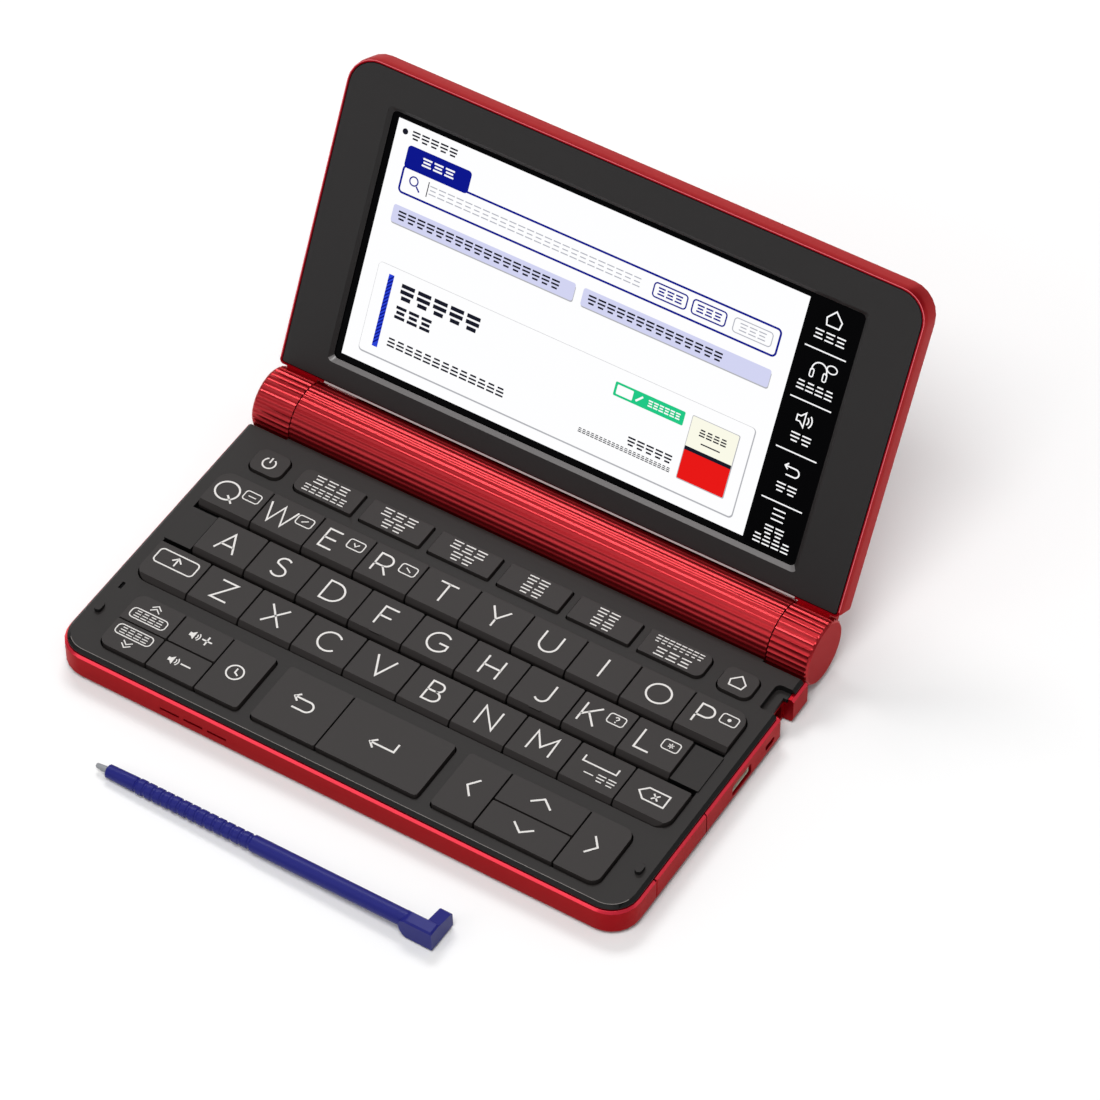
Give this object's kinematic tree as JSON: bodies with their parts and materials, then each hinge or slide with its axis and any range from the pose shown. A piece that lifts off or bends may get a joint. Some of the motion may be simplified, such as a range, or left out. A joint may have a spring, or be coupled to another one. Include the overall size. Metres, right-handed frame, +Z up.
{
  "type": "electronic dictionary",
  "caption": "Handheld clamshell electronic dictionary with a lettered keyboard, a screen lid on a fluted battery barrel hinge, a card door and a hooked stylus.",
  "frame": {"origin": "on the surface it stands on, under the middle of the bounding box of base, lid and stylus", "axes": "+X to the user's right along the hinge, +Y away from the user, +Z up"},
  "size_m": [0.162, 0.169, 0.094],
  "materials": {
    "red_shell": "metallic red paint on plastic",
    "red_barrel": "metallic red paint on fluted plastic",
    "deck_black": "fine matte black",
    "key_black": "fine matte black with white legends",
    "bezel_black": "fine matte black",
    "screen": "lit display behind glass",
    "cell_metal": "metal sleeve",
    "socket_metal": "nickel plated shell",
    "stylus_navy": "satin moulded plastic",
    "stylus_grey": "matte tip"
  },
  "bodies": {
    "base": {"lower_case": "red_shell", "keyboard_deck": "deck_black", "hinge_barrel": "red_barrel", "battery_cells": "cell_metal", "usb_socket": "socket_metal"},
    "lid": {"lid_shell": "red_shell", "lid_bezel": "bezel_black", "display_panel": "screen"},
    "battery_cover": {"battery_door": "red_barrel"},
    "card_flap": {"card_door": "red_shell"},
    "pen": {"stylus": "stylus_navy", "stylus_tip": "stylus_grey"},
    "button_shift": {"key_shift": "key_black"},
    "button_z": {"key_z": "key_black"},
    "button_x": {"key_x": "key_black"},
    "button_c": {"key_c": "key_black"},
    "button_v": {"key_v": "key_black"},
    "button_b": {"key_b": "key_black"},
    "button_n": {"key_n": "key_black"},
    "button_m": {"key_m": "key_black"},
    "button_space": {"key_space": "key_black"},
    "button_delete": {"key_delete": "key_black"},
    "button_a": {"key_a": "key_black"},
    "button_s": {"key_s": "key_black"},
    "button_d": {"key_d": "key_black"},
    "button_f": {"key_f": "key_black"},
    "button_g": {"key_g": "key_black"},
    "button_h": {"key_h": "key_black"},
    "button_j": {"key_j": "key_black"},
    "button_k": {"key_k": "key_black"},
    "button_l": {"key_l": "key_black"},
    "button_q": {"key_q": "key_black"},
    "button_w": {"key_w": "key_black"},
    "button_e": {"key_e": "key_black"},
    "button_r": {"key_r": "key_black"},
    "button_t": {"key_t": "key_black"},
    "button_y": {"key_y": "key_black"},
    "button_u": {"key_u": "key_black"},
    "button_i": {"key_i": "key_black"},
    "button_o": {"key_o": "key_black"},
    "button_p": {"key_p": "key_black"},
    "button_power": {"key_power": "key_black"},
    "button_home": {"key_home": "key_black"},
    "button_f1": {"key_f1": "key_black"},
    "button_f2": {"key_f2": "key_black"},
    "button_f3": {"key_f3": "key_black"},
    "button_f4": {"key_f4": "key_black"},
    "button_f5": {"key_f5": "key_black"},
    "button_f6": {"key_f6": "key_black"},
    "button_next": {"key_next": "key_black"},
    "button_prev": {"key_prev": "key_black"},
    "button_vol_down": {"key_vol_down": "key_black"},
    "button_vol_up": {"key_vol_up": "key_black"},
    "button_history": {"key_history": "key_black"},
    "button_back": {"key_back": "key_black"},
    "button_enter": {"key_enter": "key_black"},
    "button_left": {"key_left": "key_black"},
    "button_down": {"key_down": "key_black"},
    "button_up": {"key_up": "key_black"},
    "button_right": {"key_right": "key_black"}
  },
  "joints": [
    {"name": "lid_hinge", "type": "hinge", "parent": "base", "child": "lid", "pos_m": [0, 0.03483, 0.01], "axis": [1, 0, 0], "range_deg": [-38.2, 116.82]},
    {"name": "battery_door_slide", "type": "slide", "parent": "base", "child": "battery_cover", "axis": [0, 1, 0], "range_m": [0, 0.02]},
    {"name": "card_door_hinge", "type": "hinge", "parent": "base", "child": "card_flap", "pos_m": [0.08035, -0.04367, 0.0047], "axis": [0, 0, 1], "range_deg": [-100, 0]},
    {"name": "stylus_lift", "type": "slide", "parent": "base", "child": "pen", "axis": [0, 0, 1], "range_m": [0, 0.1]},
    {"name": "press_shift", "type": "slide", "parent": "base", "child": "button_shift", "axis": [0, 0, 1], "range_m": [-0.0008, 0], "stiffness_N_per_m": 600, "springref_m": 0.0004},
    {"name": "press_z", "type": "slide", "parent": "base", "child": "button_z", "axis": [0, 0, 1], "range_m": [-0.0008, 0], "stiffness_N_per_m": 600, "springref_m": 0.0004},
    {"name": "press_x", "type": "slide", "parent": "base", "child": "button_x", "axis": [0, 0, 1], "range_m": [-0.0008, 0], "stiffness_N_per_m": 600, "springref_m": 0.0004},
    {"name": "press_c", "type": "slide", "parent": "base", "child": "button_c", "axis": [0, 0, 1], "range_m": [-0.0008, 0], "stiffness_N_per_m": 600, "springref_m": 0.0004},
    {"name": "press_v", "type": "slide", "parent": "base", "child": "button_v", "axis": [0, 0, 1], "range_m": [-0.0008, 0], "stiffness_N_per_m": 600, "springref_m": 0.0004},
    {"name": "press_b", "type": "slide", "parent": "base", "child": "button_b", "axis": [0, 0, 1], "range_m": [-0.0008, 0], "stiffness_N_per_m": 600, "springref_m": 0.0004},
    {"name": "press_n", "type": "slide", "parent": "base", "child": "button_n", "axis": [0, 0, 1], "range_m": [-0.0008, 0], "stiffness_N_per_m": 600, "springref_m": 0.0004},
    {"name": "press_m", "type": "slide", "parent": "base", "child": "button_m", "axis": [0, 0, 1], "range_m": [-0.0008, 0], "stiffness_N_per_m": 600, "springref_m": 0.0004},
    {"name": "press_space", "type": "slide", "parent": "base", "child": "button_space", "axis": [0, 0, 1], "range_m": [-0.0008, 0], "stiffness_N_per_m": 600, "springref_m": 0.0004},
    {"name": "press_delete", "type": "slide", "parent": "base", "child": "button_delete", "axis": [0, 0, 1], "range_m": [-0.0008, 0], "stiffness_N_per_m": 600, "springref_m": 0.0004},
    {"name": "press_a", "type": "slide", "parent": "base", "child": "button_a", "axis": [0, 0, 1], "range_m": [-0.0008, 0], "stiffness_N_per_m": 600, "springref_m": 0.0004},
    {"name": "press_s", "type": "slide", "parent": "base", "child": "button_s", "axis": [0, 0, 1], "range_m": [-0.0008, 0], "stiffness_N_per_m": 600, "springref_m": 0.0004},
    {"name": "press_d", "type": "slide", "parent": "base", "child": "button_d", "axis": [0, 0, 1], "range_m": [-0.0008, 0], "stiffness_N_per_m": 600, "springref_m": 0.0004},
    {"name": "press_f", "type": "slide", "parent": "base", "child": "button_f", "axis": [0, 0, 1], "range_m": [-0.0008, 0], "stiffness_N_per_m": 600, "springref_m": 0.0004},
    {"name": "press_g", "type": "slide", "parent": "base", "child": "button_g", "axis": [0, 0, 1], "range_m": [-0.0008, 0], "stiffness_N_per_m": 600, "springref_m": 0.0004},
    {"name": "press_h", "type": "slide", "parent": "base", "child": "button_h", "axis": [0, 0, 1], "range_m": [-0.0008, 0], "stiffness_N_per_m": 600, "springref_m": 0.0004},
    {"name": "press_j", "type": "slide", "parent": "base", "child": "button_j", "axis": [0, 0, 1], "range_m": [-0.0008, 0], "stiffness_N_per_m": 600, "springref_m": 0.0004},
    {"name": "press_k", "type": "slide", "parent": "base", "child": "button_k", "axis": [0, 0, 1], "range_m": [-0.0008, 0], "stiffness_N_per_m": 600, "springref_m": 0.0004},
    {"name": "press_l", "type": "slide", "parent": "base", "child": "button_l", "axis": [0, 0, 1], "range_m": [-0.0008, 0], "stiffness_N_per_m": 600, "springref_m": 0.0004},
    {"name": "press_q", "type": "slide", "parent": "base", "child": "button_q", "axis": [0, 0, 1], "range_m": [-0.0008, 0], "stiffness_N_per_m": 600, "springref_m": 0.0004},
    {"name": "press_w", "type": "slide", "parent": "base", "child": "button_w", "axis": [0, 0, 1], "range_m": [-0.0008, 0], "stiffness_N_per_m": 600, "springref_m": 0.0004},
    {"name": "press_e", "type": "slide", "parent": "base", "child": "button_e", "axis": [0, 0, 1], "range_m": [-0.0008, 0], "stiffness_N_per_m": 600, "springref_m": 0.0004},
    {"name": "press_r", "type": "slide", "parent": "base", "child": "button_r", "axis": [0, 0, 1], "range_m": [-0.0008, 0], "stiffness_N_per_m": 600, "springref_m": 0.0004},
    {"name": "press_t", "type": "slide", "parent": "base", "child": "button_t", "axis": [0, 0, 1], "range_m": [-0.0008, 0], "stiffness_N_per_m": 600, "springref_m": 0.0004},
    {"name": "press_y", "type": "slide", "parent": "base", "child": "button_y", "axis": [0, 0, 1], "range_m": [-0.0008, 0], "stiffness_N_per_m": 600, "springref_m": 0.0004},
    {"name": "press_u", "type": "slide", "parent": "base", "child": "button_u", "axis": [0, 0, 1], "range_m": [-0.0008, 0], "stiffness_N_per_m": 600, "springref_m": 0.0004},
    {"name": "press_i", "type": "slide", "parent": "base", "child": "button_i", "axis": [0, 0, 1], "range_m": [-0.0008, 0], "stiffness_N_per_m": 600, "springref_m": 0.0004},
    {"name": "press_o", "type": "slide", "parent": "base", "child": "button_o", "axis": [0, 0, 1], "range_m": [-0.0008, 0], "stiffness_N_per_m": 600, "springref_m": 0.0004},
    {"name": "press_p", "type": "slide", "parent": "base", "child": "button_p", "axis": [0, 0, 1], "range_m": [-0.0008, 0], "stiffness_N_per_m": 600, "springref_m": 0.0004},
    {"name": "press_power", "type": "slide", "parent": "base", "child": "button_power", "axis": [0, 0, 1], "range_m": [-0.0008, 0], "stiffness_N_per_m": 600, "springref_m": 0.0004},
    {"name": "press_home", "type": "slide", "parent": "base", "child": "button_home", "axis": [0, 0, 1], "range_m": [-0.0008, 0], "stiffness_N_per_m": 600, "springref_m": 0.0004},
    {"name": "press_f1", "type": "slide", "parent": "base", "child": "button_f1", "axis": [0, 0, 1], "range_m": [-0.0008, 0], "stiffness_N_per_m": 600, "springref_m": 0.0004},
    {"name": "press_f2", "type": "slide", "parent": "base", "child": "button_f2", "axis": [0, 0, 1], "range_m": [-0.0008, 0], "stiffness_N_per_m": 600, "springref_m": 0.0004},
    {"name": "press_f3", "type": "slide", "parent": "base", "child": "button_f3", "axis": [0, 0, 1], "range_m": [-0.0008, 0], "stiffness_N_per_m": 600, "springref_m": 0.0004},
    {"name": "press_f4", "type": "slide", "parent": "base", "child": "button_f4", "axis": [0, 0, 1], "range_m": [-0.0008, 0], "stiffness_N_per_m": 600, "springref_m": 0.0004},
    {"name": "press_f5", "type": "slide", "parent": "base", "child": "button_f5", "axis": [0, 0, 1], "range_m": [-0.0008, 0], "stiffness_N_per_m": 600, "springref_m": 0.0004},
    {"name": "press_f6", "type": "slide", "parent": "base", "child": "button_f6", "axis": [0, 0, 1], "range_m": [-0.0008, 0], "stiffness_N_per_m": 600, "springref_m": 0.0004},
    {"name": "press_next", "type": "slide", "parent": "base", "child": "button_next", "axis": [0, 0, 1], "range_m": [-0.0008, 0], "stiffness_N_per_m": 600, "springref_m": 0.0004},
    {"name": "press_prev", "type": "slide", "parent": "base", "child": "button_prev", "axis": [0, 0, 1], "range_m": [-0.0008, 0], "stiffness_N_per_m": 600, "springref_m": 0.0004},
    {"name": "press_vol_down", "type": "slide", "parent": "base", "child": "button_vol_down", "axis": [0, 0, 1], "range_m": [-0.0008, 0], "stiffness_N_per_m": 600, "springref_m": 0.0004},
    {"name": "press_vol_up", "type": "slide", "parent": "base", "child": "button_vol_up", "axis": [0, 0, 1], "range_m": [-0.0008, 0], "stiffness_N_per_m": 600, "springref_m": 0.0004},
    {"name": "press_history", "type": "slide", "parent": "base", "child": "button_history", "axis": [0, 0, 1], "range_m": [-0.0008, 0], "stiffness_N_per_m": 600, "springref_m": 0.0004},
    {"name": "press_back", "type": "slide", "parent": "base", "child": "button_back", "axis": [0, 0, 1], "range_m": [-0.0008, 0], "stiffness_N_per_m": 600, "springref_m": 0.0004},
    {"name": "press_enter", "type": "slide", "parent": "base", "child": "button_enter", "axis": [0, 0, 1], "range_m": [-0.0008, 0], "stiffness_N_per_m": 600, "springref_m": 0.0004},
    {"name": "press_left", "type": "slide", "parent": "base", "child": "button_left", "axis": [0, 0, 1], "range_m": [-0.0008, 0], "stiffness_N_per_m": 600, "springref_m": 0.0004},
    {"name": "press_down", "type": "slide", "parent": "base", "child": "button_down", "axis": [0, 0, 1], "range_m": [-0.0008, 0], "stiffness_N_per_m": 600, "springref_m": 0.0004},
    {"name": "press_up", "type": "slide", "parent": "base", "child": "button_up", "axis": [0, 0, 1], "range_m": [-0.0008, 0], "stiffness_N_per_m": 600, "springref_m": 0.0004},
    {"name": "press_right", "type": "slide", "parent": "base", "child": "button_right", "axis": [0, 0, 1], "range_m": [-0.0008, 0], "stiffness_N_per_m": 600, "springref_m": 0.0004}
  ]
}
